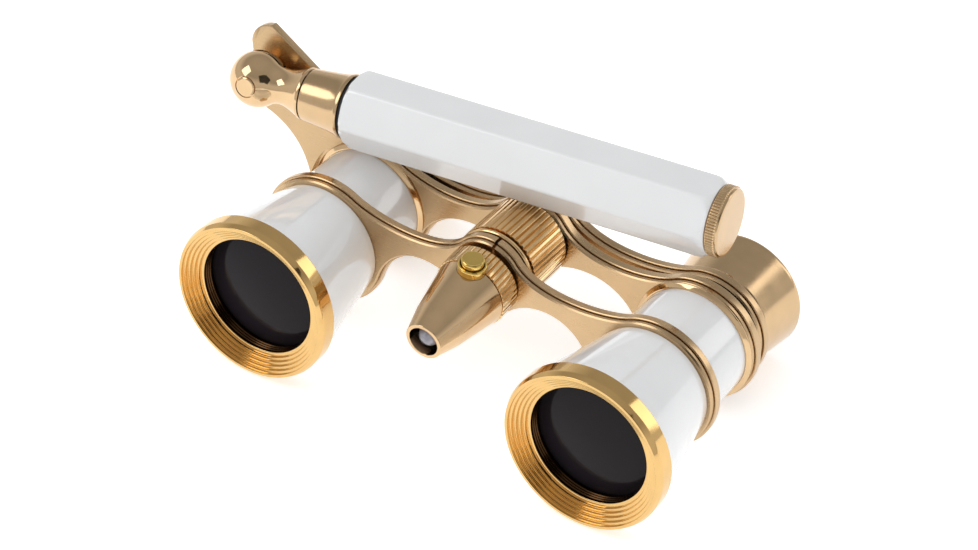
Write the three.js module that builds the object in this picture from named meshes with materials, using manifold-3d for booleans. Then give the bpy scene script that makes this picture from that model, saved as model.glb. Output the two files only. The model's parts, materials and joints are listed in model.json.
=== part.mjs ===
// Opera glasses: two Galilean barrels joined by three bridges, a centre focusing wheel, a reading
// torch on the hub, and a telescopic handle that folds across the top.
// Millimetres. +X is towards the right-hand barrel, +Y runs back from objectives to eyecups, +Z is up.
// Everything is built about a working origin on the barrel axes, in the plane of the objective
// lips, and moved at the end so that the origin is at the middle of the bottom of the bounding box.

import * as THREE from 'three'
import { mergeVertices } from 'three/addons/utils/BufferGeometryUtils.js'
import Module from 'manifold-3d'

const wasm = await Module()
wasm.setup()

const group = new THREE.Group()
const DEG = Math.PI / 180

// ---------------------------------------------------------------- driving dimensions

const axisX = 37.25 // half the distance between the barrel axes
const roundness = 32 // sides of the large turned parts
const smallRoundness = 20 // sides of the small and inner turned parts

const bezelLip = 16.5 // radius of the flat objective lip
const bezelBack = 17.0 // radius where the bezel meets the flared shell
const bezelDepth = 4.2
const aperture = 12.45 // radius of the clear opening

// The three bridges: face, thickness, radius of the rings around the barrels, radius of the hub,
// and how far the web hangs below that of the front one.
const frontBridge = { front: 24.8, depth: 2.6, ring: 13.9, hub: 8.4, drop: 0 }
const rearBridge = { front: 41.4, depth: 2.8, ring: 13.2, hub: 8.4, drop: 1.5 }
const eyeBridge = { front: 46.2, depth: 2.6, ring: 12.3, hub: 7.4, drop: 1.5 }
const hubZ = 8.3 // the centre shaft lies above the barrel axes

const tubeRadius = 11.75 // outside of the white middle tubes
const coreRadius = 10.8 // outside of the inner body tubes
const coreBore = 10.0
const slideRadius = 9.75 // outside of the sliding eyepiece tubes
const eyeBack = 61.1 // rear face of the eyecups
const eyeRadius = 12.5

const shaftRadius = 2.4
const fit = 0.15 // clearance between sliding or turning parts

const torchPivot = new THREE.Vector3(0, 25.2, hubZ)
const torchDroop = 5.9 * DEG // the torch looks slightly down, towards a programme on the lap
const torchLength = 21.7

const ball = new THREE.Vector3(-61.46, 36.75, 21.73) // centre of the handle's ball joint
const ballRadius = 5.7
const hingeYaw = 4.8 * DEG // the hinge plate turned towards the barrel side
const hingeLean = 10.9 * DEG // and leaning back
const handleRise = 2.6 * DEG // slope of the folded handle
const plateFront = 6.0 // from the ball's centre back to the face of the hinge plate
const plateDepth = 2.0

// ---------------------------------------------------------------- materials

const finishes = {
  gold: { color: 0xc8a272, roughness: 0.25, metalness: 1 },
  deepGold: { color: 0xc9a43a, roughness: 0.2, metalness: 1 },
  enamel: { color: 0xe8e9e8, roughness: 0.2, metalness: 0 },
  glass: { color: 0x2e2a2d, roughness: 0.05, metalness: 0 },
  black: { color: 0x1b1b1c, roughness: 0.6, metalness: 0 },
  steel: { color: 0xb9bcc0, roughness: 0.3, metalness: 1 },
  led: { color: 0xd8d6e4, roughness: 0.15, metalness: 0 }
}

function piece(name, geometry, finish) {
  const mesh = new THREE.Mesh(geometry, new THREE.MeshStandardMaterial(finishes[finish]))
  mesh.name = name
  group.add(mesh)
}

// ---------------------------------------------------------------- geometry helpers

// Joins the seams of a mesh, drops flat slivers and turns its faces outwards.
function closed(geometry) {
  const bare = geometry.clone()
  bare.deleteAttribute('normal')
  bare.deleteAttribute('uv')
  const merged = mergeVertices(bare, 1e-4)
  const old = merged.index.array
  const at = merged.attributes.position
  const corners = [new THREE.Vector3(), new THREE.Vector3(), new THREE.Vector3()]
  const kept = []
  let volume = 0
  for (let i = 0; i < old.length; i += 3) {
    const face = [old[i], old[i + 1], old[i + 2]]
    if (new Set(face).size < 3) continue
    corners.forEach((corner, k) => corner.fromBufferAttribute(at, face[k]))
    volume += corners[0].dot(corners[1].clone().cross(corners[2]))
    kept.push(...face)
  }
  if (volume < 0) {
    for (let i = 0; i < kept.length; i += 3) {
      const first = kept[i]
      kept[i] = kept[i + 1]
      kept[i + 1] = first
    }
  }
  merged.setIndex(kept)
  return merged
}

// A solid turned about the Y axis from a list of [radius, y] corners.
function turned(profile, sides = roundness) {
  const points = [...profile, profile[0]].map(([r, y]) => new THREE.Vector2(r, y))
  return closed(new THREE.LatheGeometry(points, sides))
}

// A ring or tube between two radii and two stations along Y.
function tube(inner, outer, from, to, sides = roundness) {
  return turned([[inner, from], [outer, from], [outer, to], [inner, to]], sides)
}

function rod(radius, from, to, sides = smallRoundness) {
  return turned([[0, from], [radius, from], [radius, to], [0, to]], sides)
}

function block(x0, x1, y0, y1, z0, z1) {
  const box = new THREE.BoxGeometry(x1 - x0, y1 - y0, z1 - z0)
  return closed(box.translate((x0 + x1) / 2, (y0 + y1) / 2, (z0 + z1) / 2))
}

// A flat shape drawn in X and Z, given thickness along Y.
function plate(shape, front, depth, curveSegments = 8) {
  const solid = new THREE.ExtrudeGeometry(shape, { depth, bevelEnabled: false, curveSegments })
  return closed(solid.rotateX(Math.PI / 2).translate(0, front + depth, 0))
}

function toManifold(geometry) {
  const vertProperties = new Float32Array(geometry.attributes.position.array)
  const triVerts = new Uint32Array(geometry.index.array)
  return new wasm.Manifold(new wasm.Mesh({ numProp: 3, vertProperties, triVerts }))
}

function fromManifold(solid) {
  const mesh = solid.getMesh()
  const geometry = new THREE.BufferGeometry()
  geometry.setAttribute('position', new THREE.BufferAttribute(mesh.vertProperties, 3))
  geometry.setIndex(new THREE.BufferAttribute(mesh.triVerts, 1))
  return geometry
}

function joined(...geometries) {
  const solids = geometries.map(toManifold)
  return fromManifold(solids.slice(1).reduce((sum, next) => sum.add(next), solids[0]))
}

function cut(geometry, ...tools) {
  const start = toManifold(geometry)
  return fromManifold(tools.map(toManifold).reduce((left, tool) => left.subtract(tool), start))
}

function moved(geometry, x, y, z) {
  return geometry.clone().translate(x, y, z)
}

// Both barrels carry the same parts.
function onBothBarrels(name, geometry, finish) {
  piece(`${name}_left`, moved(geometry, -axisX, 0, 0), finish)
  piece(`${name}_right`, moved(geometry, axisX, 0, 0), finish)
}

// A wheel with straight flutes all round, between two stations along Y.
function fluted(outer, depth, count, from, to) {
  const shape = new THREE.Shape()
  for (let i = 0; i < count * 2; i++) {
    const radius = i % 2 ? outer - depth : outer
    const angle = (i / count) * Math.PI
    const corner = [radius * Math.cos(angle), radius * Math.sin(angle)]
    if (i === 0) shape.moveTo(...corner)
    else shape.lineTo(...corner)
  }
  shape.closePath()
  return plate(shape, from, to - from)
}

// ---------------------------------------------------------------- barrels

const coneBack = 12.6 // radius where the flared shell meets the front bridge
const skirt = 14.2 // outside of the bezel's threaded skirt, inside the flared shell
const lensBore = 13.2
const lensSeat = 5.6 // depth of the shoulder that the objective lens rests on

onBothBarrels('objective_bezel', turned([
  [aperture, 2.5], [bezelLip - 1.5, 0.9], [bezelLip - 0.8, 0], [bezelLip, 0], [bezelBack, 1.2],
  [bezelBack, bezelDepth], [skirt, bezelDepth], [skirt, 10.6], [lensBore, 10.6], [lensBore, lensSeat],
  [aperture, lensSeat]
]), 'gold')

onBothBarrels('objective_lens', turned([
  [0, lensSeat - 1], [6, lensSeat - 0.8], [10.5, lensSeat - 0.1], [12.3, lensSeat + 0.3],
  [13.05, lensSeat + 0.3], [13.05, lensSeat + 2.1], [6.5, lensSeat + 2.7], [0, lensSeat + 2.9]
], smallRoundness), 'glass')

onBothBarrels('objective_retainer', tube(11.9, 13.1, lensSeat + 2.4, 10.6, smallRoundness), 'black')

onBothBarrels('flared_shell', turned([
  [bezelBack - 1.5, bezelDepth], [bezelBack - 0.2, bezelDepth], [14.6, 14.5],
  [coneBack, frontBridge.front], [coneBack - 1, frontBridge.front], [13.6, 14.5]
]), 'enamel')

const frontBridgeBack = frontBridge.front + frontBridge.depth
onBothBarrels('core_tube', tube(coreBore, coreRadius, 22.6, 44.2), 'steel')
const tubeBore = coreRadius + 0.05
onBothBarrels('middle_tube', tube(tubeBore, tubeRadius, frontBridgeBack, rearBridge.front), 'enamel')
onBothBarrels('bead_ring', turned([
  [tubeRadius + 0.05, 40.5], [12.1, 40.5], [12.8, 41.35], [tubeRadius + 0.05, 41.35]
]), 'gold')

// ---------------------------------------------------------------- bridges

// The dog-bone web between the rings; `inset` draws it smaller all round.
function webShape({ ring, drop }, inset) {
  const top = {
    outer: [axisX - 0.414 * ring, 0.9 * ring - inset],
    outerPull: [26, 9.6 - drop - inset],
    innerPull: [11.5, 8.3 - drop - inset],
    inner: [6.4, 13.2 - inset]
  }
  const bottom = {
    outer: [axisX - 0.965 * ring, inset - 3.2],
    outerPull: [21.2, 6.4 - drop + inset],
    innerPull: [12, 7.2 - drop + inset],
    inner: [5.5, 3.2 + inset]
  }
  const mirror = ([x, z]) => [-x, z]
  const shape = new THREE.Shape()
  shape.moveTo(...top.outer)
  shape.bezierCurveTo(...top.outerPull, ...top.innerPull, ...top.inner)
  shape.lineTo(...mirror(top.inner))
  shape.bezierCurveTo(...mirror(top.innerPull), ...mirror(top.outerPull), ...mirror(top.outer))
  shape.lineTo(-axisX, 0)
  shape.lineTo(...mirror(bottom.outer))
  shape.bezierCurveTo(...mirror(bottom.outerPull), ...mirror(bottom.innerPull), ...mirror(bottom.inner))
  shape.lineTo(...bottom.inner)
  shape.bezierCurveTo(...bottom.innerPull, ...bottom.outerPull, ...bottom.outer)
  shape.lineTo(axisX, 0)
  shape.closePath()
  return shape
}

function bridgeLayer(form, front, depth, inset) {
  const ring = rod(form.ring - inset, front, front + depth, 32)
  return joined(
    moved(ring, -axisX, 0, 0),
    moved(ring, axisX, 0, 0),
    moved(rod(form.hub - inset, front, front + depth, 24), 0, 0, hubZ),
    plate(webShape(form, inset), front, depth, 6)
  )
}

// A bridge with a slightly smaller front layer and a broad rear layer, bored for both barrels.
function bridge(form, bore) {
  const { front, depth } = form
  const step = depth * 0.35
  const body = joined(
    bridgeLayer(form, front, step, 0.5),
    bridgeLayer(form, front + step, depth - step, 0)
  )
  const drill = rod(bore, front - 1, front + depth + 1, 32)
  return cut(body, moved(drill, -axisX, 0, 0), moved(drill, axisX, 0, 0))
}

const hubAxis = (geometry) => moved(geometry, 0, 0, hubZ)

// The torch's own frame: origin on the front bridge, Y back along the torch, Z up.
const torchPlace = new THREE.Matrix4().makeRotationX(torchDroop).setPosition(torchPivot)
const onTorch = (geometry) => geometry.clone().applyMatrix4(torchPlace)

// The handle's own frame: origin at the ball, X along the handle, Y back, Z up.
const handleTurn = new THREE.Euler(-hingeLean, -handleRise, hingeYaw, 'ZXY')
const handlePlace = new THREE.Matrix4().makeRotationFromEuler(handleTurn).setPosition(ball)
const onHandle = (geometry) => geometry.clone().applyMatrix4(handlePlace)

// Front bridge, with the boss that carries the torch and a clamping slit in the top of its hub.
const torchBoss = onTorch(rod(6.0, -1.9, 1.2))
const torchSpotFace = onTorch(rod(7.9, -8, -0.6, 32))
const shaftEnd = 25.8
piece('front_bridge', cut(
  joined(cut(bridge(frontBridge, coreRadius + 0.05), torchSpotFace), torchBoss),
  hubAxis(rod(shaftRadius + fit, shaftEnd - 0.2, frontBridgeBack + 1)),
  block(1.1, 1.9, frontBridge.front - 0.5, frontBridgeBack + 0.5, hubZ + 6.4, hubZ + 10)
), 'gold')

// Rear bridge, with the plate that reaches up to the handle's hinge.
function hingePlateShape() {
  const shape = new THREE.Shape()
  shape.absarc(-1.5, 4.9, 4.0, Math.PI, 100 * DEG, true)
  shape.lineTo(-1.2, 9.1)
  shape.lineTo(9, 2.4)
  shape.bezierCurveTo(14, -0.6, 15, -7, 22, -8.8)
  shape.lineTo(30, -10.5)
  shape.lineTo(23, -22)
  shape.lineTo(10.4, -21)
  shape.bezierCurveTo(8.6, -14.5, 4.2, -10.6, -1.1, -8.7)
  shape.bezierCurveTo(-4, -5.5, -4.4, 0, -5.5, 4.9)
  return shape
}

const rearBridgeBack = rearBridge.front + rearBridge.depth
const hingePlate = cut(
  onHandle(plate(hingePlateShape(), plateFront, plateDepth)),
  moved(rod(13.4, 30, rearBridge.front, 32), -axisX, 0, 0),
  moved(rod(coreRadius + 0.05, 30, 50, 32), -axisX, 0, 0),
  block(-52, 0, rearBridgeBack, 60, -10, 40)
)
piece('rear_bridge', cut(
  joined(bridge(rearBridge, coreRadius + 0.05), hingePlate),
  hubAxis(rod(shaftRadius + fit, rearBridge.front - 1, rearBridgeBack + 1)),
  onHandle(rod(1.5, 5, 10))
), 'gold')

// ---------------------------------------------------------------- focusing

const wheelRadius = 8.5
const wheelFront = 27.9
const wheelBack = 40.8
const wheelBody = joined(
  rod(8.7, wheelFront, wheelFront + 0.9, 32),
  rod(7.8, wheelFront + 0.9, wheelFront + 1.4, 24),
  fluted(wheelRadius, 0.35, 44, wheelFront + 1.4, wheelBack)
)
const shaftHole = rod(shaftRadius + 0.05, 20, 60)
piece('focus_wheel', hubAxis(cut(wheelBody, shaftHole)), 'gold')
piece('focus_shaft', hubAxis(rod(shaftRadius, shaftEnd, 52.5)), 'steel')

const nutRadius = 4.2
const nutBack = 55.6
piece('focus_nut', hubAxis(turned([
  [shaftRadius + fit, 46.2], [nutRadius, 46.2], [nutRadius, 53.6], [2.8, nutBack], [0, nutBack],
  [0, 54.6], [shaftRadius + fit, 54.6]
], smallRoundness)), 'gold')

// ---------------------------------------------------------------- sliding eyepieces

const eyeBridgeBack = eyeBridge.front + eyeBridge.depth
piece('eyepiece_bridge', cut(
  bridge(eyeBridge, slideRadius + 0.05),
  hubAxis(rod(nutRadius + 0.05, 45, 50))
), 'gold')

onBothBarrels('eyepiece_tube', tube(8.9, slideRadius, 34, eyeBridgeBack - 0.1), 'black')
onBothBarrels('eyecup', turned([
  [8.2, eyeBridgeBack], [11.1, eyeBridgeBack], [11.2, 50.5], [12.4, 60.1],
  [eyeRadius, 60.6], [12.1, eyeBack], [10.4, eyeBack], [8.8, 57.6], [8.2, 57.6]
]), 'gold')
onBothBarrels('eyepiece_lens', turned([
  [0, 53.2], [4, 52.8], [7.2, 52], [8.1, 52], [8.1, 56], [7.2, 56], [4, 55.2], [0, 54.8]
], smallRoundness), 'glass')
onBothBarrels('eyepiece_retainer', tube(7.2, 8.15, 56.1, 57.2, smallRoundness), 'black')

// ---------------------------------------------------------------- reading torch

const buttonY = -6.0
const buttonTurn = 6 * DEG // the button stands a little to the right of the top

// A part turned about the button's axis; a profile's second number is the height above the torch's axis.
const upright = (profile) => onTorch(
  turned(profile, 20).rotateX(Math.PI / 2).translate(0, buttonY, 0).rotateY(buttonTurn)
)
const buttonBore = upright([[0, 4.5], [2.9, 4.5], [2.9, 12], [0, 12]])

const ringFront = -5.6
const ringBack = -0.6
const coneBackEnd = ringFront - 0.1
piece('torch_shell', cut(onTorch(turned([
  [3.1, -torchLength], [3.85, -torchLength], [5.4, -16.2], [7.35, coneBackEnd], [6.2, coneBackEnd],
  [6.2, -3.2], [5.3, -3.2], [5.3, -13.5], [4.3, -16.5], [3.1, -19.9]
], 28)), buttonBore), 'gold')

piece('torch_ring', cut(
  onTorch(cut(fluted(7.6, 0.3, 42, ringFront, ringBack), rod(6.35, -10, 2))),
  buttonBore
), 'gold')

piece('torch_led', onTorch(turned([
  [0, -21.3], [1.3, -21.0], [2.1, -20.1], [2.3, -18.8], [2.3, -15], [0, -15]
], 20)), 'led')
piece('led_holder', onTorch(turned([
  [2.5, -17.6], [3.4, -17.6], [4.1, -15.6], [4.1, -14.2], [0, -14.2], [0, -14.9], [2.5, -14.9]
], 20)), 'black')
piece('battery_sleeve', onTorch(tube(4.05, 5.05, -13.4, -3.4, 20)), 'black')

const cellDepth = 3.15
for (let i = 0; i < 3; i++) {
  const front = -13.3 + i * (cellDepth + 0.05)
  piece(`button_cell_${i + 1}`, onTorch(rod(3.95, front, front + cellDepth, 20)), 'steel')
}

// Conical contact spring between the last cell and the boss.
class SpringLine extends THREE.Curve {
  getPoint(t, target = new THREE.Vector3()) {
    const angle = t * 2.5 * Math.PI * 2
    const radius = 1.6 + 1.6 * t
    return target.set(radius * Math.cos(angle), -3.45 + 1.3 * t, radius * Math.sin(angle))
  }
}
const wire = new THREE.Shape().absarc(0, 0, 0.16, 0, Math.PI * 2)
piece('battery_spring', onTorch(closed(new THREE.ExtrudeGeometry(wire, {
  steps: 36,
  curveSegments: 3,
  bevelEnabled: false,
  extrudePath: new SpringLine()
}))), 'steel')

piece('button_bezel', upright([
  [2.4, 5.3], [2.85, 5.3], [2.85, 8.0], [2.65, 8.3], [2.4, 8.3]
]), 'deepGold')
piece('torch_button', upright([[0, 6.5], [2.25, 6.5], [2.25, 9.3], [1.95, 9.6], [0, 9.6]]), 'deepGold')
piece('torch_switch', upright([[0, 5.15], [1.9, 5.15], [1.5, 5.6], [0, 5.65]]), 'steel')

// ---------------------------------------------------------------- handle

const along = (profile, sides) => onHandle(turned(profile, sides).rotateZ(-Math.PI / 2))

const tubeStart = 8.0
const collarEnd = 11.5
const ballProfile = []
for (let degrees = 180; degrees >= 41; degrees -= 139 / 7) {
  const angle = degrees * DEG
  ballProfile.push([ballRadius * Math.sin(angle), ballRadius * Math.cos(angle)])
}
ballProfile[0][0] = 0
const knuckleSolid = turned([
  ...ballProfile, [3.75, 6.4], [4.2, 8.6], [5.25, 10.8], [5.25, collarEnd], [3.0, collarEnd],
  [3.0, tubeStart], [0, tubeStart]
], 28).rotateZ(-Math.PI / 2)
piece('handle_knuckle', onHandle(cut(
  knuckleSolid,
  rod(1.6, -8, 8),
  rod(2.25, -8, -4.85),
  block(-8, 5.2, 0.65, 1.75, -8, 8)
)), 'gold')

piece('hinge_pin', onHandle(turned([
  [0, -5.45], [1.85, -5.45], [2.05, -5.3], [2.05, -5.0], [1.45, -5.0], [1.45, 8.5], [0, 8.5]
], smallRoundness)), 'gold')
piece('hinge_washer', onHandle(tube(1.55, 4.9, 0.85, 1.55, smallRoundness)), 'steel')

const stemRadius = 2.9
piece('handle_stem', along([
  [2.2, tubeStart + 0.1], [stemRadius, tubeStart + 0.1], [stemRadius, 90], [2.2, 90]
], 20), 'steel')
const stopBore = stemRadius + 0.05
piece('stem_stop', along([[stopBore, 86], [5.6, 86], [5.6, 89], [stopBore, 89]], 20), 'black')

const sleeveStart = 21.5
const sleeveEnd = 99.3
const slideBore = 3.1
piece('handle_ferrule', along([
  [slideBore, 11.7], [5.3, 11.7], [5.55, 14.5], [5.95, 18], [6.55, 20.8], [slideBore, 20.8]
], 28), 'gold')
piece('ferrule_gasket', along([
  [slideBore, 20.85], [6.2, 20.85], [6.2, sleeveStart - 0.05], [slideBore, sleeveStart - 0.05]
], 28), 'black')

// Hexagonal sleeve with softened edges, its middle face looking forward and a little up.
const acrossFlats = 13.9
const faceTurn = 11 * DEG
const edgeHalfWidth = 3.5 * DEG // each long edge is a narrow flat, seen this wide from the axis
function hexShape() {
  const shape = new THREE.Shape()
  const edgeRadius = acrossFlats / 2 / Math.cos(30 * DEG - edgeHalfWidth)
  for (let i = 0; i < 12; i++) {
    const side = i % 2 ? edgeHalfWidth : -edgeHalfWidth
    const angle = (Math.floor(i / 2) * 60 + 210) * DEG - faceTurn + side
    const point = [edgeRadius * Math.cos(angle), edgeRadius * Math.sin(angle)]
    if (i === 0) shape.moveTo(...point)
    else shape.lineTo(...point)
  }
  shape.closePath()
  return shape
}
const hexBar = plate(hexShape(), sleeveStart, sleeveEnd - sleeveStart)
const hexEnds = turned([
  [0, sleeveStart], [6.9, sleeveStart], [8.3, 23.2], [8.3, 96.4], [7.0, sleeveEnd], [0, sleeveEnd]
], 30)
const hexBore = turned([
  [0, 21], [slideBore, 21], [slideBore, 24], [5.8, 24], [5.8, 110], [0, 110]
], smallRoundness)
const hexTurned = fromManifold(
  toManifold(hexBar).intersect(toManifold(hexEnds)).subtract(toManifold(hexBore))
)
piece('handle_sleeve', onHandle(hexTurned.rotateZ(-Math.PI / 2)), 'enamel')
piece('handle_cap', onHandle(joined(
  fluted(7.0, 0.15, 48, sleeveEnd + 0.05, 101.3),
  rod(6.7, 101.3, 102, 32)
).rotateZ(-Math.PI / 2)), 'gold')

// ---------------------------------------------------------------- frame of the whole

const bounds = new THREE.Box3().setFromObject(group)
const middle = bounds.getCenter(new THREE.Vector3())
for (const mesh of group.children) {
  mesh.geometry.translate(-middle.x, -middle.y, -bounds.min.z)
}

export default group
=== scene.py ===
"""Opera glasses with white enamelled barrels, gold-plated bridges, a centre focusing wheel,
a reading torch and a telescopic folding handle.

Each visible piece is modelled on the axis that it was turned on, in millimetres, and set in
place from the frame. Inner pieces stay as the frame has them and get their finishes.
"""

import json
import math

import bmesh
import bpy
from mathutils import Matrix, Vector


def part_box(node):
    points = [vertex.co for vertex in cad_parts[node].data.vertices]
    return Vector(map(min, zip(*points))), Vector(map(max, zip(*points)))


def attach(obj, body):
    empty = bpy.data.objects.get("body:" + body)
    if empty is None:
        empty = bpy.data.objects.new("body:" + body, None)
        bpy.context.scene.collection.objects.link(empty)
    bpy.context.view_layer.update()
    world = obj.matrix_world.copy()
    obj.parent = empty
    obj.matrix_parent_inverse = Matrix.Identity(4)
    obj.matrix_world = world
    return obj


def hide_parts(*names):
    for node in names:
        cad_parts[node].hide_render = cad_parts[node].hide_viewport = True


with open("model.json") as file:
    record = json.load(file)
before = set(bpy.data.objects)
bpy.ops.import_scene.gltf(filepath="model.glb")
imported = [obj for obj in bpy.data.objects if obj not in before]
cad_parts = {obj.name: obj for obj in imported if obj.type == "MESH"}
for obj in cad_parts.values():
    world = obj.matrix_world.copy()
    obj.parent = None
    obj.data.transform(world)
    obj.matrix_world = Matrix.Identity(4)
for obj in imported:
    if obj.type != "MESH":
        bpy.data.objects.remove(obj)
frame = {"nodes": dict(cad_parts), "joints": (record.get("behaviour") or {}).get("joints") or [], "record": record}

bl_info = {
    "name": "Opera Glasses",
    "version": (1, 0, 0),
    "blender": (4, 5, 0),
    "location": "3D View > Sidebar > Opera Glasses",
    "description": "Builds opera glasses with a reading torch and a folding handle",
    "category": "Object",
}

MM = 0.001
SIDES = ("left", "right")
BODY_OF = {
    node: body
    for body, nodes in frame["record"]["behaviour"]["bodies"].items()
    for node in nodes
}
JOINT = {joint["name"]: joint for joint in frame["joints"]}


def linear(hex_colour):
    """Linear colour of an sRGB hex value."""
    channels = [int(hex_colour[i:i + 2], 16) / 255 for i in (1, 3, 5)]
    return [c / 12.92 if c <= 0.04045 else ((c + 0.055) / 1.055) ** 2.4 for c in channels]


# ---------------------------------------------------------------- places, from the frame


def middle(node):
    low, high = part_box(node)
    return (low + high) / 2


def reach(node, axis):
    """Lowest and highest value of a node along an axis, in millimetres."""
    low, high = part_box(node)
    return low[axis] / MM, high[axis] / MM


def girth(node):
    """Largest radius, in millimetres, of a part turned about a line along Y."""
    low, high = reach(node, 0)
    return (high - low) / 2


LIP = reach("objective_bezel_left", 1)[0]


def station(node, end):
    """Distance in millimetres of a node's front (0) or back (1) behind the objective lips."""
    return reach(node, 1)[end] - LIP


def on_axis_of(node):
    """Frame with its origin in the plane of the objective lips, on a turned part's axis."""
    centre = middle(node)
    return Matrix.Translation((centre.x, LIP * MM, centre.z))


def axes(along_x, along_y, origin):
    """Frame from two directions at right angles and an origin."""
    x = Vector(along_x).normalized()
    z = x.cross(Vector(along_y)).normalized()
    y = z.cross(x)
    columns = Matrix((x, y, z)).transposed().to_4x4()
    return Matrix.Translation(origin) @ columns


BARREL = {side: on_axis_of(f"flared_shell_{side}") for side in SIDES}
HUB = on_axis_of("focus_wheel")
HALF_SPAN = (middle("flared_shell_right").x - middle("flared_shell_left").x) / 2 / MM
HUB_RISE = (middle("focus_wheel").z - middle("flared_shell_left").z) / MM
BRIDGES = Matrix.Translation((middle("focus_wheel").x, LIP * MM, middle("flared_shell_left").z))

CORE_FIT = 10.85  # bore of the rings and tubes that sit on the core tubes

TORCH_PIVOT = 25.2  # the torch's axis crosses the hub's this far behind the lips
TORCH_UP = -Vector(JOINT["torch_press"]["axis"])
TORCH = axes((1, 0, 0), TORCH_UP.cross(Vector((1, 0, 0))), HUB @ Vector((0, TORCH_PIVOT * MM, 0)))

HANDLE = axes(
    JOINT["handle_extend"]["axis"],
    -Vector(JOINT["handle_fold"]["axis"]),
    JOINT["handle_fold"]["pos_m"],
)
HANDLE_TUBES = HANDLE @ Matrix.Rotation(-math.pi / 2, 4, "Z")  # Y runs along the handle


# ---------------------------------------------------------------- sizes and colours


def millimetres(name, description, default):
    return bpy.props.FloatProperty(
        name=name, description=description, default=default * MM, unit="LENGTH", precision=5
    )


def swatch(name, description, hex_colour):
    return bpy.props.FloatVectorProperty(
        name=name, description=description, default=linear(hex_colour), subtype="COLOR",
        min=0, max=1
    )


class OperaGlassSizes(bpy.types.PropertyGroup):
    lip_steps: bpy.props.IntProperty(
        name="Lip steps", description="Anti-glare steps turned into each objective bezel", default=5
    )
    wheel_flutes: bpy.props.IntProperty(
        name="Wheel flutes", description="Grip flutes round the focusing wheel", default=44
    )
    wheel_flute_depth: millimetres("Wheel flute depth", "Depth of the wheel's flutes", 0.42)
    torch_flutes: bpy.props.IntProperty(
        name="Torch flutes", description="Grip flutes round the torch's ring", default=42
    )
    torch_flute_depth: millimetres("Torch flute depth", "Depth of the torch ring's flutes", 0.38)
    cap_knurls: bpy.props.IntProperty(
        name="Cap knurls", description="Fine knurls round the handle's end cap", default=72
    )
    sleeve_across_flats: millimetres("Sleeve across flats", "Width of the hexagonal sleeve", 13.9)
    sleeve_edge: millimetres("Sleeve edge", "Radius of the hexagonal sleeve's long edges", 0.9)
    sleeve_turn: bpy.props.FloatProperty(
        name="Sleeve turn", description="How far the sleeve's front face looks up",
        default=math.radians(11), subtype="ANGLE"
    )
    bridge_edge: millimetres("Bridge edge", "Width of the bright bevel round the bridges", 0.3)
    bridge_groove: millimetres("Bridge groove", "Depth of the groove in the bridges' rims", 0.2)
    floor_size: bpy.props.FloatProperty(
        name="Floor size", description="Width of the floor", default=3.0, unit="LENGTH"
    )


class OperaGlassColours(bpy.types.PropertyGroup):
    champagne: swatch("Champagne gold", "Gold plating of the bridges and handle", "#DEBD92")
    bezel: swatch("Bezel gold", "Deeper gold plating of the objective bezels", "#E4BC7C")
    grip: swatch("Grip gold", "Gold plating of the fluted wheel and ring", "#EAC692")
    button: swatch("Button gold", "Yellow gold plating of the torch button", "#E6C470")
    enamel: swatch("Enamel", "White enamel of the barrels and handle", "#EDEEEF")
    glass: swatch("Lens", "Coated glass over the blackened barrel", "#1E1A1D")
    black: swatch("Black", "Blackened inner parts", "#1B1B1C")
    steel: swatch("Steel", "Plain turned steel", "#B9BCC0")
    lamp: swatch("Lamp resin", "Cast resin of the torch's lamp", "#D8D6E4")
    floor: swatch("Floor", "Studio floor", "#F8F8F8")
    # Bezel bore: dark brown painted shade and painted dark reflection on the brass inside the bezels
    bore: swatch("Bezel bore", "Painted shade on brass inside the bezels", "#4A3420")


# ---------------------------------------------------------------- mesh helpers


def rounded(corners, segments=4):
    """Profile points from corners (r, y) or (r, y, width), the last with a rounded corner."""
    points = []
    for i, corner in enumerate(corners):
        here = Vector(corner[:2])
        if len(corner) == 2:
            points.append(here)
            continue
        before = Vector(corners[i - 1][:2])
        after = Vector(corners[(i + 1) % len(corners)][:2])
        start = here + (before - here).normalized() * corner[2]
        end = here + (after - here).normalized() * corner[2]
        for k in range(segments + 1):
            t = k / segments
            points.append(start * (1 - t) ** 2 + here * 2 * t * (1 - t) + end * t ** 2)
    return points


def sweep_round(corners, steps=96, limit=None):
    """Mesh of a part turned about Y from its profile, in millimetres.

    A profile starts and ends on the axis or runs round closed. `limit(angle, y)` gives the
    largest radius there, for flutes and flats.
    """
    profile = rounded(corners)
    open_profile = profile[0].x < 1e-6 and profile[-1].x < 1e-6
    bm = bmesh.new()
    rings = []
    for radius, y in profile:
        if radius < 1e-6:
            rings.append([bm.verts.new((0, y * MM, 0))] * steps)
            continue
        ring = []
        for k in range(steps):
            angle = 2 * math.pi * k / steps
            r = radius if limit is None else min(radius, limit(angle, y))
            ring.append(bm.verts.new((r * math.cos(angle) * MM, y * MM, r * math.sin(angle) * MM)))
        rings.append(ring)
    last = len(rings) - 1 if open_profile else len(rings)
    for i in range(last):
        here, there = rings[i], rings[(i + 1) % len(rings)]
        for k in range(steps):
            n = (k + 1) % steps
            corners_of_face = []
            for vertex in (here[k], here[n], there[n], there[k]):
                if vertex not in corners_of_face:
                    corners_of_face.append(vertex)
            if len(corners_of_face) > 2:
                bm.faces.new(corners_of_face)
    return finished(bm)


def finished(bm):
    """Mesh from a bmesh, its faces turned outwards."""
    bmesh.ops.recalc_face_normals(bm, faces=bm.faces)
    mesh = bpy.data.meshes.new("piece")
    bm.to_mesh(mesh)
    bm.free()
    return mesh


def arc(centre, radius, start, end, count):
    """Points on an arc between two angles in degrees."""
    points = []
    for k in range(count + 1):
        angle = math.radians(start + (end - start) * k / count)
        points.append(Vector(centre) + radius * Vector((math.cos(angle), math.sin(angle))))
    return points


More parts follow.
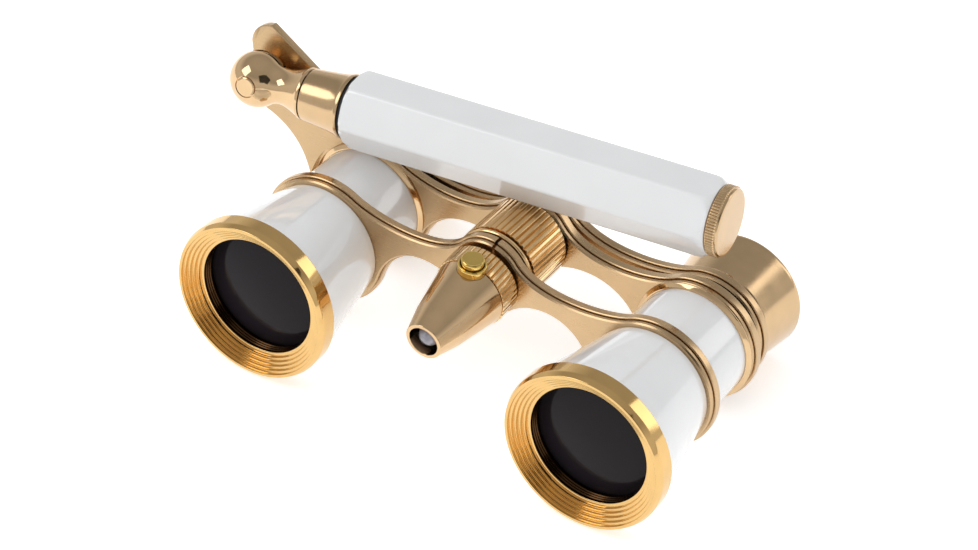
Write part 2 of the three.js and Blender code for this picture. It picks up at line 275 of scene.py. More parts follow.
def bezier(a, b, c, d, count):
    """Points inside a cubic curve, without its two ends."""
    a, b, c, d = (Vector(p) for p in (a, b, c, d))
    points = []
    for k in range(1, count):
        t = k / count
        s = 1 - t
        points.append(a * s ** 3 + b * 3 * s * s * t + c * 3 * s * t * t + d * t ** 3)
    return points


def inset_loop(points, inset):
    """Closed anticlockwise outline moved inwards."""
    moved = []
    for i, point in enumerate(points):
        before = (point - points[i - 1]).normalized()
        after = (points[(i + 1) % len(points)] - point).normalized()
        tangent = (before + after).normalized()
        inward = Vector((-tangent.y, tangent.x))
        moved.append(point + inward * inset / max(0.5, tangent.dot(after)))
    return moved


def sweep_plate(outline, holes, stations):
    """Mesh of a flat plate in X and Z with holes, built up along Y.

    `holes` are (x, z, radius); `stations` are (y, inset of the outline, growth of the holes).
    """
    bm = bmesh.new()
    hole_loops = [arc((x, z), 1, 0, 360, 64)[:-1] for x, z, radius in holes]
    loops = []
    for y, inset, growth in stations:
        rims = [inset_loop(outline, inset)]
        for (x, z, radius), loop in zip(holes, hole_loops):
            centre = Vector((x, z))
            rims.append([centre + (p - centre) * (radius + growth) for p in loop])
        loops.append([[bm.verts.new((p.x * MM, y * MM, p.y * MM)) for p in rim] for rim in rims])
    for here, there in zip(loops, loops[1:]):
        for rim, next_rim in zip(here, there):
            for k in range(len(rim)):
                n = (k + 1) % len(rim)
                bm.faces.new((rim[k], rim[n], next_rim[n], next_rim[k]))
    for end in (loops[0], loops[-1]):
        edges = [bm.edges.get((rim[k - 1], rim[k])) for rim in end for k in range(len(rim))]
        bmesh.ops.triangle_fill(bm, edges=edges, use_beauty=True)
    return finished(bm)


def block_mesh(low, high):
    """Mesh of a box between two corners in millimetres."""
    bm = bmesh.new()
    bmesh.ops.create_cube(bm, size=1)
    for vertex in bm.verts:
        for axis in range(3):
            share = vertex.co[axis] + 0.5
            vertex.co[axis] = (low[axis] + (high[axis] - low[axis]) * share) * MM
    return finished(bm)


def rod_mesh(radius, front, back, steps=96):
    return sweep_round([(0, front), (radius, front), (radius, back), (0, back)], steps)


def combine(piece, mesh, place, operation):
    """Joins a mesh to a piece, or cuts it out of it."""
    tool = bpy.data.objects.new("tool", mesh)
    bpy.context.scene.collection.objects.link(tool)
    tool.matrix_world = place
    modifier = piece.modifiers.new("Combine", "BOOLEAN")
    modifier.object = tool
    modifier.operation = operation
    modifier.solver = "EXACT"
    apply_modifiers(piece)
    bpy.data.objects.remove(tool)


def apply_modifiers(piece):
    bpy.context.view_layer.update()
    depsgraph = bpy.context.evaluated_depsgraph_get()
    mesh = bpy.data.meshes.new_from_object(piece.evaluated_get(depsgraph))
    piece.modifiers.clear()
    old = piece.data
    piece.data = mesh
    bpy.data.meshes.remove(old)


def stand_in(name, mesh, place, finish, slot, *nodes):
    """Adds a detailed piece in place of CAD nodes, on the body of the first."""
    piece = bpy.data.objects.new(name, mesh)
    bpy.context.scene.collection.objects.link(piece)
    piece.matrix_world = place
    bpy.context.view_layer.update()
    mesh.materials.append(finish)
    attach(piece, BODY_OF[nodes[0]])
    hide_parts(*nodes)
    return piece


def shade(piece, angle=32):
    """Smooth shading that keeps flats flat and sharp edges sharp."""
    piece.data.shade_smooth()
    piece.data.set_sharp_from_angle(angle=math.radians(angle))
    weighted = piece.modifiers.new("Even shading", "WEIGHTED_NORMAL")
    weighted.keep_sharp = True
    weighted.weight = 80


def turned_piece(name, corners, place, finish, slot, *nodes, steps=96, limit=None):
    piece = stand_in(name, sweep_round(corners, steps, limit), place, finish, slot, *nodes)
    shade(piece)
    return piece


def flutes(count, crest, depth, front, back, land=0.55):
    """Radius limit of grooves between two stations along Y, with a share of flat land between."""
    slope = math.sin(math.pi / 2 * (1 - land))

    def limit(angle, y):
        if not front <= y <= back:
            return math.inf
        across = min(1, abs(math.sin(count * angle / 2)) / slope)
        return crest - depth * (1 - across)

    return limit


# ---------------------------------------------------------------- materials


def add(tree, kind, inputs=None, **settings):
    """Adds a shader node, sets its settings, and sets or links its inputs."""
    made = tree.nodes.new("ShaderNode" + kind)
    for setting, value in settings.items():
        setattr(made, setting, value)
    for socket, value in (inputs or {}).items():
        if isinstance(value, bpy.types.NodeSocket):
            tree.links.new(value, made.inputs[socket])
        else:
            made.inputs[socket].default_value = value
    return made


def new_material(name):
    material = bpy.data.materials.new(name)
    material.use_nodes = True
    tree = material.node_tree
    tree.nodes.clear()
    return material, tree


def finish_with(tree, inputs):
    shader = add(tree, "BsdfPrincipled", inputs)
    add(tree, "OutputMaterial", {"Surface": shader.outputs[0]})


def shades(tree, factor, low, high, start=0.3, end=0.7):
    """Colour ramp between two colours."""
    ramp = add(tree, "ValToRGB", {"Fac": factor})
    ramp.color_ramp.elements[0].position = start
    ramp.color_ramp.elements[0].color = (*low, 1)
    ramp.color_ramp.elements[1].position = end
    ramp.color_ramp.elements[1].color = (*high, 1)
    return ramp.outputs["Color"]


def scaled(colour, factor):
    return [channel * factor for channel in colour]


def between(tree, factor, low, high):
    """A value mapped from 0..1 to a range."""
    made = add(tree, "MapRange", {"Value": factor, "To Min": low, "To Max": high})
    return made.outputs["Result"]


def plated_brass(name, colour, roughness, lines, line_height):
    """Gold-plated brass, turned and then polished.

    The plating is smooth and mirror-like. The lathe leaves fine rings round the turning axis
    (local Y), drawn `lines` to the millimetre, coarser than they are so that they show.
    Handling leaves faint, cloudy changes of gloss a few millimetres across.
    """
    material, tree = new_material(name)
    place = add(tree, "TexCoord").outputs["Object"]
    split = add(tree, "SeparateXYZ", {"Vector": place})
    flat = add(tree, "CombineXYZ", {"X": split.outputs["X"], "Y": split.outputs["Z"]})
    radius = add(tree, "VectorMath", {0: flat.outputs[0]}, operation="LENGTH")
    rings = add(tree, "CombineXYZ", {"X": radius.outputs["Value"], "Y": split.outputs["Y"]})
    marks = add(tree, "TexNoise", {
        "Vector": rings.outputs[0], "Scale": lines / MM, "Detail": 3, "Roughness": 0.6,
    })
    clouds = add(tree, "TexNoise", {"Vector": place, "Scale": 0.25 / MM, "Detail": 2})
    tone = shades(tree, clouds.outputs["Fac"], scaled(colour, 0.93), colour)
    gloss = add(tree, "Math", {0: marks.outputs["Fac"], 1: clouds.outputs["Fac"]}, operation="MULTIPLY")
    bump = add(tree, "Bump", {
        "Height": marks.outputs["Fac"], "Strength": 0.35, "Distance": line_height * MM,
    })
    finish_with(tree, {
        "Base Color": tone,
        "Metallic": 1.0,
        "Roughness": between(tree, gloss.outputs[0], roughness * 0.6, roughness * 1.8),
        "Normal": bump.outputs[0],
    })
    return material


def satin_brass(name, colour, roughness):
    """Gold-plated brass, milled flat and brushed across before plating.

    The brushing spreads reflections a little and leaves short hairlines, drawn 0.15 mm apart.
    """
    material, tree = new_material(name)
    place = add(tree, "TexCoord").outputs["Object"]
    stretched = add(tree, "Mapping", {"Vector": place, "Scale": (0.06, 1, 1)})
    hairs = add(tree, "TexNoise", {
        "Vector": stretched.outputs[0], "Scale": 3.0 / MM, "Detail": 4, "Roughness": 0.65,
    })
    clouds = add(tree, "TexNoise", {"Vector": place, "Scale": 0.12 / MM, "Detail": 2})
    tone = shades(tree, clouds.outputs["Fac"], scaled(colour, 0.92), colour)
    bump = add(tree, "Bump", {
        "Height": hairs.outputs["Fac"], "Strength": 0.25, "Distance": 0.004 * MM,
    })
    finish_with(tree, {
        "Base Color": tone,
        "Metallic": 1.0,
        "Roughness": between(tree, hairs.outputs["Fac"], roughness * 0.75, roughness * 1.3),
        "Normal": bump.outputs[0],
    })
    return material


def white_enamel(colour):
    """White stoving enamel over brass, sprayed and baked.

    It flows out to a deep gloss, with a very faint orange-peel ripple about 1.5 mm across.
    """
    material, tree = new_material("White stoving enamel")
    place = add(tree, "TexCoord").outputs["Object"]
    peel = add(tree, "TexNoise", {"Vector": place, "Scale": 0.7 / MM, "Detail": 1})
    haze = add(tree, "TexNoise", {"Vector": place, "Scale": 0.08 / MM, "Detail": 2})
    bump = add(tree, "Bump", {
        "Height": peel.outputs["Fac"], "Strength": 0.12, "Distance": 0.02 * MM,
    })
    finish_with(tree, {
        "Base Color": shades(tree, haze.outputs["Fac"], scaled(colour, 0.96), colour),
        "Roughness": between(tree, haze.outputs["Fac"], 0.16, 0.26),
        "IOR": 1.5,
        "Coat Weight": 1.0,
        "Coat Roughness": 0.04,
        "Normal": bump.outputs[0],
    })
    return material


def coated_glass(colour):
    """Optical glass with an anti-reflection coating, in front of a blackened tube.

    It looks almost black, with a weak violet painted sheen where it is seen aslant, standing in for the coating's
    reflection, and a trace of dust.
    """
    material, tree = new_material("Coated optical glass")
    place = add(tree, "TexCoord").outputs["Object"]
    aslant = add(tree, "LayerWeight", {"Blend": 0.3})
    dust = add(tree, "TexNoise", {"Vector": place, "Scale": 2.5 / MM, "Detail": 3, "Roughness": 0.8})
    # Painted sheen: the colour turns lighter and more violet where the glass is seen aslant, for the coating's
    # reflection
    painted_sheen = shades(tree, aslant.outputs["Facing"], colour, (0.03, 0.024, 0.034), 0.2, 1.0)
    finish_with(tree, {
        "Base Color": painted_sheen,
        "Roughness": between(tree, dust.outputs["Fac"], 0.05, 0.2),
        "IOR": 1.52,
        "Specular IOR Level": 0.10,
    })
    return material


def blackened(colour):
    """Black anodised and moulded inner parts: matt, with a fine even grain of 0.1 mm."""
    material, tree = new_material("Matt black anodising")
    place = add(tree, "TexCoord").outputs["Object"]
    grain = add(tree, "TexNoise", {"Vector": place, "Scale": 10 / MM, "Detail": 2})
    finish_with(tree, {
        "Base Color": shades(tree, grain.outputs["Fac"], scaled(colour, 0.7), scaled(colour, 1.3)),
        "Roughness": between(tree, grain.outputs["Fac"], 0.45, 0.65),
        "IOR": 1.5,
    })
    return material


def turned_steel(colour):
    """Plain steel, turned on a lathe: greyish and bright, with fine rings round its axis."""
    material, tree = new_material("Turned steel")
    place = add(tree, "TexCoord").outputs["Object"]
    stretched = add(tree, "Mapping", {"Vector": place, "Scale": (0.1, 1, 0.1)})
    rings = add(tree, "TexNoise", {"Vector": stretched.outputs[0], "Scale": 5 / MM, "Detail": 3})
    finish_with(tree, {
        "Base Color": shades(tree, rings.outputs["Fac"], scaled(colour, 0.85), colour),
        "Metallic": 1.0,
        "Roughness": between(tree, rings.outputs["Fac"], 0.18, 0.35),
    })
    return material


def lamp_resin(colour):
    """Clear epoxy, cast in one piece over the lamp: glassy, faintly grey, with a soft core."""
    material, tree = new_material("Cast epoxy lamp")
    place = add(tree, "TexCoord").outputs["Object"]
    core = add(tree, "TexNoise", {"Vector": place, "Scale": 0.6 / MM, "Detail": 2})
    finish_with(tree, {
        "Base Color": shades(tree, core.outputs["Fac"], scaled(colour, 0.6), colour),
        "Roughness": 0.06,
        "IOR": 1.54,
        "Transmission Weight": 0.55,
        "Coat Weight": 0.5,
    })
    return material


def studio_floor(colour):
    """Opal light table: plain, matt and pale, lit a little from below, very faintly uneven."""
    material, tree = new_material("Opal light table")
    place = add(tree, "TexCoord").outputs["Object"]
    patches = add(tree, "TexNoise", {"Vector": place, "Scale": 6, "Detail": 1})
    finish_with(tree, {
        "Base Color": shades(tree, patches.outputs["Fac"], scaled(colour, 0.985), colour),
        "Roughness": 0.8,
        "IOR": 1.45,
        "Emission Color": (1, 1, 1, 1),
        "Emission Strength": 0.5,
    })
    return material


MATERIALS = {}


def make_materials(colours):
    """Every finish of the glasses, by a short name."""
    champagne = list(colours.champagne)
    MATERIALS["polished"] = plated_brass("Champagne gold, polished", champagne, 0.10, 1.5, 0.004)
    MATERIALS["turned"] = plated_brass("Champagne gold, turned", scaled(champagne, 0.88), 0.2, 4, 0.01)
    MATERIALS["grip"] = plated_brass("Grip gold, turned", list(colours.grip), 0.18, 4, 0.01)
    MATERIALS["satin"] = satin_brass("Champagne gold, satin", scaled(champagne, 0.82), 0.25)
    # Dark brown brass for the bezel bores: painted shade and painted dark reflection
    MATERIALS["bore"] = plated_brass("Painted shade on brass", list(colours.bore), 0.2, 3, 0.006)
    MATERIALS["bezel"] = plated_brass("Bezel gold, turned", list(colours.bezel), 0.09, 3, 0.005)
    MATERIALS["button"] = plated_brass("Yellow gold, polished", list(colours.button), 0.14, 4, 0.004)
    MATERIALS["enamel"] = white_enamel(list(colours.enamel))
    MATERIALS["glass"] = coated_glass(list(colours.glass))
    MATERIALS["black"] = blackened(list(colours.black))
    MATERIALS["steel"] = turned_steel(list(colours.steel))
    MATERIALS["lamp"] = lamp_resin(list(colours.lamp))
    MATERIALS["floor"] = studio_floor(list(colours.floor))


# ---------------------------------------------------------------- barrels


def build_bezels(sizes):
    """Gold objective bezels: a broad polished rim and anti-glare steps down to the opening."""
    rim = girth("objective_bezel_left")
    back = station("flared_shell_left", 0)
    skirt_back = station("objective_bezel_left", 1)
    opening = 12.45
    first_step = 15.9
    depth = 2.5
    steps = []
    for k in range(sizes.lip_steps):
        share = k / sizes.lip_steps
        next_share = (k + 1) / sizes.lip_steps
        radius = first_step + (opening - first_step) * share
        next_radius = first_step + (opening - first_step) * next_share
        steps += [
            (radius, depth * share + 0.02, 0.06),
            (radius - 0.04, depth * next_share + 0.1, 0.05),
            (next_radius + 0.16, depth * next_share + 0.12, 0.05),
        ]
    seat = station("objective_lens_left", 0) + 1.0
    thread_start, pitch = 3.3, 0.6
    thread = []
    for k in range(3):
        y = thread_start + k * pitch
        thread += [(opening, y), (opening + 0.14, y + 0.2), (opening, y + 0.4)]
    profile = [
        (first_step + 0.15, 0, 0.1), (rim - 0.5, 0, 0.15), (rim, 1.0, 0.3), (rim, back - 0.02, 0.15),
        (14.2, back - 0.02), (14.2, skirt_back), (13.2, skirt_back), (13.2, seat), (opening, seat),
        *reversed(thread), (opening, depth + 0.2, 0.08), *reversed(steps)
    ]
    for side in SIDES:
        bezel = turned_piece(
            f"bezel_{side}", profile, BARREL[side], MATERIALS["bezel"], "champagne_gold",
            f"objective_bezel_{side}", steps=128
        )
        # The threaded inner wall and seat of the bore get the dark brown brass: painted shade and painted dark
        # reflection down inside the bezel
        bezel.data.materials.append(MATERIALS["bore"])
        for face in bezel.data.polygons:
            centre = face.center / MM
            if math.hypot(centre.x, centre.z) < opening + 0.2 and centre.y > depth + 0.3:
                face.material_index = 1


def build_lenses():
    """Objective and eye lenses."""
    front = station("objective_lens_left", 0)
    back = station("objective_lens_left", 1)
    objective = [
        (0, front), (3, front + 0.06), (6, front + 0.25), (9, front + 0.59), (11, front + 0.91),
        (12.2, front + 1.2), (13.05, front + 1.35, 0.2), (13.05, back - 0.8, 0.2), (6.5, back - 0.2),
        (0, back)
    ]
    eye = [
        (0, 53.2), (2, 53.1), (4, 52.8), (6, 52.35), (7.2, 52), (8.1, 52), (8.1, 56), (7.2, 56),
        (6, 55.65), (4, 55.2), (2, 54.9), (0, 54.8)
    ]
    for side in SIDES:
        turned_piece(
            f"objective_glass_{side}", objective, BARREL[side], MATERIALS["glass"], "coated_glass",
            f"objective_lens_{side}"
        )
        turned_piece(
            f"eye_glass_{side}", eye, BARREL[side], MATERIALS["glass"], "coated_glass",
            f"eyepiece_lens_{side}"
        )


def build_retainers():
    """Black rings that hold the eye lenses."""
    for side in SIDES:
        front = station(f"eyepiece_retainer_{side}", 0)
        back = station(f"eyepiece_retainer_{side}", 1)
        ring = [(7.2, front), (8.15, front), (8.15, back, 0.1), (7.5, back, 0.1), (7.2, back - 0.3)]
        turned_piece(
            f"eye_retainer_{side}", ring, BARREL[side], MATERIALS["black"], "black_parts",
            f"eyepiece_retainer_{side}"
        )


def build_barrels():
    """White enamelled shells and middle tubes, and the gold beads behind them."""
    front = station("flared_shell_left", 0)
    back = station("flared_shell_left", 1)
    wide = girth("flared_shell_left")
    narrow = 12.6
    outer = []
    for k in range(13):
        t = k / 12
        y = front + 0.05 + (back - 0.35 - front) * t
        outer.append((wide + (narrow - wide) * t - 0.5 * t * (1 - t), y))
    shell = [(15.5, front + 0.05), *outer, (narrow - 0.25, back), (narrow - 1, back), (13.6, 14.5)]
    tube = girth("middle_tube_left")
    tube_front = station("middle_tube_left", 0)
    tube_back = station("middle_tube_left", 1)
    sleeve = [
        (CORE_FIT, tube_front), (tube, tube_front), (tube, tube_back), (CORE_FIT, tube_back)
    ]
    bead_front = station("bead_ring_left", 0)
    bead_back = station("bead_ring_left", 1)
    bead = girth("bead_ring_left")
    ring = [
        (tube + 0.05, bead_front), (tube + 0.3, bead_front, 0.1), (bead - 0.3, bead_front + 0.35, 0.15),
        (bead, bead_back - 0.25, 0.12), (bead - 0.05, bead_back, 0.05), (tube + 0.05, bead_back)
    ]
    for side in SIDES:
        turned_piece(
            f"enamel_shell_{side}", shell, BARREL[side], MATERIALS["enamel"], "white_enamel",
            f"flared_shell_{side}", steps=128
        )
        turned_piece(
            f"enamel_tube_{side}", sleeve, BARREL[side], MATERIALS["enamel"], "white_enamel",
            f"middle_tube_{side}"
        )
        turned_piece(
            f"gold_bead_{side}", ring, BARREL[side], MATERIALS["polished"], "champagne_gold",
            f"bead_ring_{side}"
        )


def build_eyecups():
    """Gold eyecups with a rolled rim and a dished seat for the eye."""
    front = station("eyecup_left", 0)
    back = station("eyecup_left", 1)
    wide = girth("eyecup_left")
    cup = [
        (8.2, front), (11.1, front, 0.1), (11.15, front + 0.5), (11.0, front + 0.75),
        (11.0, front + 1.0), (11.25, front + 1.3, 0.15), (11.7, front + 5.5), (wide - 0.08, back - 1.0),
        (wide, back - 0.45), (wide - 0.12, back - 0.12, 0.1), (wide - 0.5, back, 0.15),
        (10.5, back, 0.2), (8.9, 57.7, 0.5), (8.2, 57.6)
    ]
    tube = girth("eyepiece_tube_left")
    tube_front = station("eyepiece_tube_left", 0)
    tube_back = station("eyepiece_tube_left", 1)
    slide = [(8.9, tube_front), (tube, tube_front), (tube, tube_back), (8.9, tube_back)]
    for side in SIDES:
        turned_piece(
            f"gold_eyecup_{side}", cup, BARREL[side], MATERIALS["turned"], "champagne_gold",
            f"eyecup_{side}", steps=128
        )
        turned_piece(
            f"slide_tube_{side}", slide, BARREL[side], MATERIALS["black"], "black_parts",
            f"eyepiece_tube_{side}"
        )


# ---------------------------------------------------------------- bridges


SHAFT_BORE = 2.55


def bridge_outline(ring, hub, drop):
    """Dog-bone outline, anticlockwise in X and Z: a ring round each barrel, a hub, and webs."""
    right = Vector((HALF_SPAN, 0))
    centre = Vector((0, HUB_RISE))
    ring_top, ring_bottom = 114.7, -166.6
    hub_top, hub_bottom = 37.4, -42.8
    outer_arc = arc(right, ring, ring_bottom, ring_top, 72)
    hub_arc = arc(centre, hub, hub_top, 90, 8)
    under_arc = arc(centre, hub, -90, hub_bottom, 8)
    top = bezier(outer_arc[-1], (26, 9.6 - drop), (11.5, 8.3 - drop), hub_arc[0], 16)
    bottom = bezier(under_arc[-1], (12, 7.2 - drop), (21.2, 6.4 - drop), outer_arc[0], 16)
    half = [*under_arc, *bottom, *outer_arc, *top, *hub_arc]
    mirrored = [Vector((-p.x, p.y)) for p in reversed(half[1:-1])]
    return half + mirrored


def bridge_stations(front, depth, edge, groove):
    """Layers of a bridge: a bevelled front layer, a groove, and the broad rear layer.

    Each is (y, inset of the outline, growth of the holes), as `sweep_plate` takes it.
    """
    step = depth * 0.35
    back = front + depth
    return [
        (front, 0.45 + edge, 0), (front + edge, 0.5, 0), (front + step - 0.12, 0.45, 0),
        (front + step - 0.1, 0.5 + groove, 0), (front + step + 0.08, 0.5 + groove, 0),
        (front + step + 0.1, 0.15, 0), (front + step + 0.25, 0, 0), (back - 0.22, 0, 0),
        (back - 0.06, 0.06, 0), (back, 0.22, 0)
    ]


def bridge_piece(name, node, sizes, front, depth, ring, hub, drop, bore, shaft_bore):
    """Bridge with rings of one radius, a hub of another, and webs that sit lower by `drop`."""
    holes = [(-HALF_SPAN, 0, bore), (HALF_SPAN, 0, bore), (0, HUB_RISE, shaft_bore)]
    stations = bridge_stations(front, depth, sizes.bridge_edge / MM, sizes.bridge_groove / MM)
    mesh = sweep_plate(bridge_outline(ring, hub, drop), holes, stations)
    return stand_in(name, mesh, BRIDGES, MATERIALS["satin"], "champagne_gold", node)


def build_front_bridge(sizes):
    """Front bridge with the boss that carries the torch and a clamping slit over its hub."""
    front = station("flared_shell_left", 1)
    depth = station("middle_tube_left", 0) - front
    piece = bridge_piece(
        "gold_front_bridge", "front_bridge", sizes, front, depth,
        ring=13.9, hub=8.4, drop=0, bore=CORE_FIT, shaft_bore=SHAFT_BORE
    )
    torch_room = rod_mesh(7.9, -8, -0.6)
    boss = rod_mesh(6.0, -1.9, 0.0)
    combine(piece, torch_room, TORCH, "DIFFERENCE")
    combine(piece, boss, TORCH, "UNION")
    slit = block_mesh((1.1, front - 1, HUB_RISE + 6.4), (1.7, front + depth + 1, HUB_RISE + 10))
    combine(piece, slit, BRIDGES, "DIFFERENCE")
    shade(piece)


def hinge_plate_outline():
    """Outline of the plate that reaches from the rear bridge up to the handle's hinge."""
    tip = [Vector((-0.9, 8.9)), Vector((-1.2, 9.05)), *arc((-1.5, 4.9), 4.0, 100, 180, 16)]
    inner = bezier((-5.5, 4.9), (-4.4, 0), (-4, -5.5), (-1.1, -8.7), 12)
    lower = bezier((-1.1, -8.7), (4.2, -10.6), (8.6, -14.5), (10.4, -21), 12)
    upper = bezier((22, -8.8), (15, -7), (14, -0.6), (9, 2.4), 12)
    points = [*tip, *inner, Vector((-1.1, -8.7)), *lower, Vector((10.4, -21)), Vector((23, -22))]
    return [*points, Vector((30, -10.5)), Vector((22, -8.8)), *upper, Vector((9, 2.4))]


def build_rear_bridge(sizes):
    """Rear bridge in one piece with the hinge plate of the handle."""
    front = station("middle_tube_left", 1)
    back = station("core_tube_left", 1)
    piece = bridge_piece(
        "gold_rear_bridge", "rear_bridge", sizes, front, back - front,
        ring=13.2, hub=8.4, drop=1.5, bore=CORE_FIT, shaft_bore=SHAFT_BORE
    )
    face, depth, edge = 6.0, 2.0, 0.3
    stations = [
        (face, edge), (face + 0.1, 0.1), (face + edge, 0), (face + depth - 0.2, 0),
        (face + depth, 0.2)
    ]
    mesh = sweep_plate(
        hinge_plate_outline(), [(0, 0, 1.5)], [(y, inset, 0) for y, inset in stations]
    )
    plate = bpy.data.objects.new("hinge_plate", mesh)
    bpy.context.scene.collection.objects.link(plate)
    plate.matrix_world = HANDLE
    barrel_room = rod_mesh(13.4, 30, front)
    tube_room = rod_mesh(CORE_FIT + 0.01, 30, 50)
    behind_bridge = block_mesh((-52, back, -10), (0, 60, 40))
    combine(plate, barrel_room, BARREL["left"], "DIFFERENCE")
    combine(plate, tube_room, BARREL["left"], "DIFFERENCE")
    combine(plate, behind_bridge, BRIDGES, "DIFFERENCE")
    combine(piece, plate.data, HANDLE, "UNION")
    bpy.data.objects.remove(plate)
    shade(piece)


def build_eyepiece_bridge(sizes):
    """Bridge that carries the eyepieces."""
    front = station("eyepiece_bridge", 0)
    depth = station("eyepiece_bridge", 1) - front
    piece = bridge_piece(
        "gold_eyepiece_bridge", "eyepiece_bridge", sizes, front, depth,
        ring=12.3, hub=7.4, drop=1.5, bore=9.8, shaft_bore=4.25
    )
    shade(piece)


def build_focus_nut():
    """Gold nut with a closed nose, on the focusing screw."""
    front = station("eyepiece_bridge", 0)
    nut = girth("focus_nut")
    back = station("focus_nut", 1)
    profile = [
        (2.55, front), (nut, front), (nut, back - 2.6, 0.15), (nut - 0.25, back - 2.4),
        (nut - 0.25, back - 2.2), (nut - 0.05, back - 2.0, 0.1), (2.8, back, 0.6), (0, back),
        (0, back - 1), (2.55, back - 1)
    ]
    turned_piece(
        "gold_focus_nut", profile, HUB, MATERIALS["polished"], "champagne_gold", "focus_nut"
    )


# ---------------------------------------------------------------- focusing wheel


def build_focus_wheel(sizes):
    """Fluted focusing wheel with a smooth front lip."""
    front = station("focus_wheel", 0)
    back = station("focus_wheel", 1)
    lip = girth("focus_wheel")
    crest = lip - 0.2
    depth = sizes.wheel_flute_depth / MM
    profile = [
        (2.45, front), (lip - 0.5, front, 0.1), (lip - 0.25, front + 0.25, 0.08),
        (lip - 0.25, front + 0.7, 0.1), (lip - 0.4, front + 0.8), (7.0, front + 0.85, 0.05),
        (7.0, front + 1.4, 0.05), (crest - depth, front + 1.42), (crest - 0.1, front + 1.44),
        (crest, front + 1.6), (crest, back - 0.6), (crest - 0.15, back - 0.25),
        (crest - depth, back), (2.45, back)
    ]
    turned_piece(
        "gold_focus_wheel", profile, HUB, MATERIALS["grip"], "champagne_gold", "focus_wheel",
        steps=sizes.wheel_flutes * 12,
        limit=flutes(sizes.wheel_flutes, crest, depth, front + 1.41, back)
    )


def build_focus_screw():
    """Steel focusing screw, threaded behind the wheel."""
    back = station("focus_wheel", 1)
    shaft = girth("focus_shaft")
    shaft_front = station("focus_shaft", 0)
    shaft_back = station("focus_shaft", 1)
    pitch = 0.5
    thread = []
    y = back + 0.6
    while y < shaft_back - 0.8:
        thread += [(shaft, y), (shaft - 0.22, y + pitch / 2), (shaft, y + pitch)]
        y += pitch
    screw = [
        (0, shaft_front), (shaft, shaft_front, 0.2), *thread, (shaft, shaft_back, 0.3),
        (0, shaft_back)
    ]
    turned_piece("steel_focus_screw", screw, HUB, MATERIALS["steel"], "steel_parts", "focus_shaft")


# ---------------------------------------------------------------- reading torch


TORCH_BUTTON = (
    TORCH
    @ Matrix.Rotation(math.radians(6), 4, "Y")
    @ Matrix.Translation((0, -6.0 * MM, 0))
    @ Matrix.Rotation(math.pi / 2, 4, "X")
)
BUTTON_HOLE = (2.9, 4.5, 12)  # radius, and both ends above the torch's axis


def build_torch_shell():
    """Double cone of the torch, with a hole for its button."""
    nose = [
        (3.1, -21.7, 0.15), (3.85, -21.7, 0.2), (5.4, -16.2), (7.35, -5.7, 0.15),
        (6.2, -5.7), (6.2, -3.2), (5.3, -3.2), (5.3, -13.5), (4.3, -16.5), (3.1, -19.9)
    ]
    shell = stand_in(
        "gold_torch_shell", sweep_round(nose, 128), TORCH, MATERIALS["polished"], "champagne_gold",
        "torch_shell"
    )
    combine(shell, rod_mesh(*BUTTON_HOLE, 64), TORCH_BUTTON, "DIFFERENCE")
    shade(shell, angle=4.5)  # keeps the ring where the two cones meet


def build_torch_ring(sizes):
    """Fluted ring round the back of the torch, with room for the button."""
    crest = 7.6
    depth = sizes.torch_flute_depth / MM
    front, back = -5.6, -0.6
    profile = [
        (6.35, front), (crest - depth - 0.1, front), (crest - 0.1, front + 0.03), (crest, front + 0.15),
        (crest, back - 0.4), (crest - 0.15, back - 0.1), (crest - depth - 0.05, back), (6.35, back)
    ]
    grooves = flutes(sizes.torch_flutes, crest, depth, front, back)
    ring = stand_in(
        "gold_torch_ring", sweep_round(profile, sizes.torch_flutes * 12, grooves), TORCH,
        MATERIALS["grip"], "champagne_gold", "torch_ring"
    )
    combine(ring, rod_mesh(*BUTTON_HOLE, 64), TORCH_BUTTON, "DIFFERENCE")
    shade(ring)


def build_lamp():
    """Domed resin lamp in the nose of the torch."""
    lamp = [
        (0, -21.3), (0.7, -21.2), (1.3, -20.95), (1.75, -20.5), (2.1, -19.9), (2.28, -19.2),
        (2.3, -18.6), (2.3, -15), (0, -15)
    ]
    turned_piece(
        "resin_lamp", lamp, TORCH, MATERIALS["lamp"], "led_resin", "torch_led", steps=48
    )


def build_torch_button():
    """Push button of the torch in its collar."""
    collar = [
        (2.4, 5.3), (2.85, 5.3), (2.85, 8.05, 0.15), (2.65, 8.3, 0.08), (2.4, 8.3, 0.05)
    ]
    turned_piece(
        "gold_button_collar", collar, TORCH_BUTTON, MATERIALS["button"], "bright_gold",
        "button_bezel", steps=64
    )
    cap = [
        (0, 6.5), (2.25, 6.5), (2.25, 9.35, 0.2), (1.95, 9.6, 0.12), (1.75, 9.52, 0.08), (0, 9.5)
    ]
    turned_piece(
        "gold_button_cap", cap, TORCH_BUTTON, MATERIALS["button"], "bright_gold", "torch_button",
        steps=64
    )


# ---------------------------------------------------------------- handle


def build_knuckle():
    """Slotted ball with a flared neck that the handle turns on."""
    ball = 5.7
    arc_points = []
    neck_start = 128  # degrees round from the far end of the ball
    for k in range(25):
        angle = math.radians(180 - neck_start * k / 24)
        arc_points.append((ball * math.sin(angle), ball * math.cos(angle)))
    arc_points[0] = (0, -ball)
    profile = [
        *arc_points, (4.1, 4.08), (3.83, 4.65), (3.67, 5.3), (3.62, 6.0), (3.68, 6.8), (3.9, 7.7),
        (4.35, 9.0), (5.0, 10.5, 0.3), (5.25, 10.9, 0.1), (5.25, 11.45, 0.1), (3.0, 11.5),
        (3.0, 8.0), (0, 8.0)
    ]
    knuckle = stand_in(
        "gold_knuckle", sweep_round(profile, 128), HANDLE_TUBES, MATERIALS["polished"],
        "champagne_gold", "handle_knuckle"
    )
    pin_bore = rod_mesh(1.6, -8, 8, 48)
    head_recess = rod_mesh(2.25, -8, -4.85, 48)
    washer_slot = block_mesh((-8, 0.3, -8), (5.2, 1.75, 8))
    combine(knuckle, pin_bore, HANDLE, "DIFFERENCE")
    combine(knuckle, head_recess, HANDLE, "DIFFERENCE")
    combine(knuckle, washer_slot, HANDLE, "DIFFERENCE")
    shade(knuckle)


